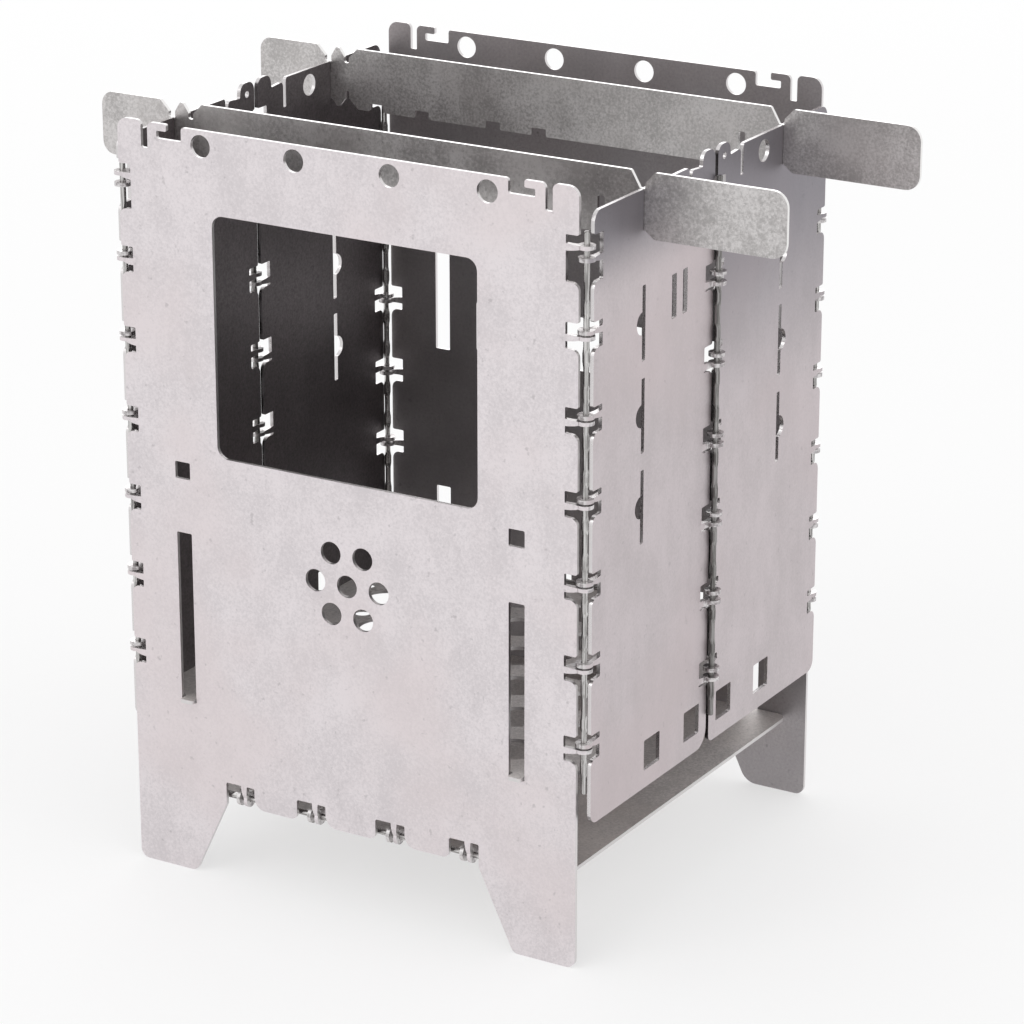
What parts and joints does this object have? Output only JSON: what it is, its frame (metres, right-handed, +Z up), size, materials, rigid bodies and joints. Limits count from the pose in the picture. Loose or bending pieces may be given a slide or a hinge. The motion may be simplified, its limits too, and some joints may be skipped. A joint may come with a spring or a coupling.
{
  "type": "twig stove",
  "caption": "Folding box stove of flat titanium sheets on hinge rods, with a fire window, a swinging grate, a base plate and lift-out trivets.",
  "frame": {"origin": "on the ground, below the middle of the whole stove with its trivets; the trivets reach further to the right than to the left, so the middle of the box itself lies 8.35 mm to the left of it", "axes": "+X to the right seen from the front, +Y to the rear, +Z up"},
  "size_m": [0.2, 0.1308, 0.2034],
  "materials": {
    "panel_titanium": "matte bead-blasted titanium",
    "wall_titanium": "matte bead-blasted titanium",
    "plate_titanium": "satin titanium",
    "trivet_titanium": "satin titanium",
    "rod_steel": "bright drawn stainless steel wire"
  },
  "bodies": {
    "stove_box": {"front_panel": "panel_titanium", "back_panel": "panel_titanium", "right_front_wall": "wall_titanium", "right_rear_wall": "wall_titanium", "left_front_wall": "wall_titanium", "left_rear_wall": "wall_titanium", "front_right_rod": "rod_steel", "rear_right_rod": "rod_steel", "front_left_rod": "rod_steel", "rear_left_rod": "rod_steel", "right_mid_rod": "rod_steel", "left_mid_rod": "rod_steel", "base_rod": "rod_steel", "grate_rod": "rod_steel"},
    "base_plate": {"base_plate": "plate_titanium"},
    "grate": {"grate": "plate_titanium"},
    "front_trivet": {"front_trivet": "trivet_titanium"},
    "rear_trivet": {"rear_trivet": "trivet_titanium"}
  },
  "joints": [
    {"name": "base_plate_tilt", "type": "hinge", "parent": "stove_box", "child": "base_plate", "pos_m": [-0.00835, -0.0614, 0.0233], "axis": [1, 0, 0], "range_deg": [0, 10]},
    {"name": "grate_tilt", "type": "hinge", "parent": "stove_box", "child": "grate", "pos_m": [-0.00835, 0.0614, 0.04945], "axis": [-1, 0, 0], "range_deg": [0, 90]},
    {"name": "front_trivet_lift", "type": "slide", "parent": "stove_box", "child": "front_trivet", "axis": [0, 0, 1], "range_m": [0, 0.04]},
    {"name": "rear_trivet_lift", "type": "slide", "parent": "stove_box", "child": "rear_trivet", "axis": [0, 0, 1], "range_m": [0, 0.04]}
  ]
}
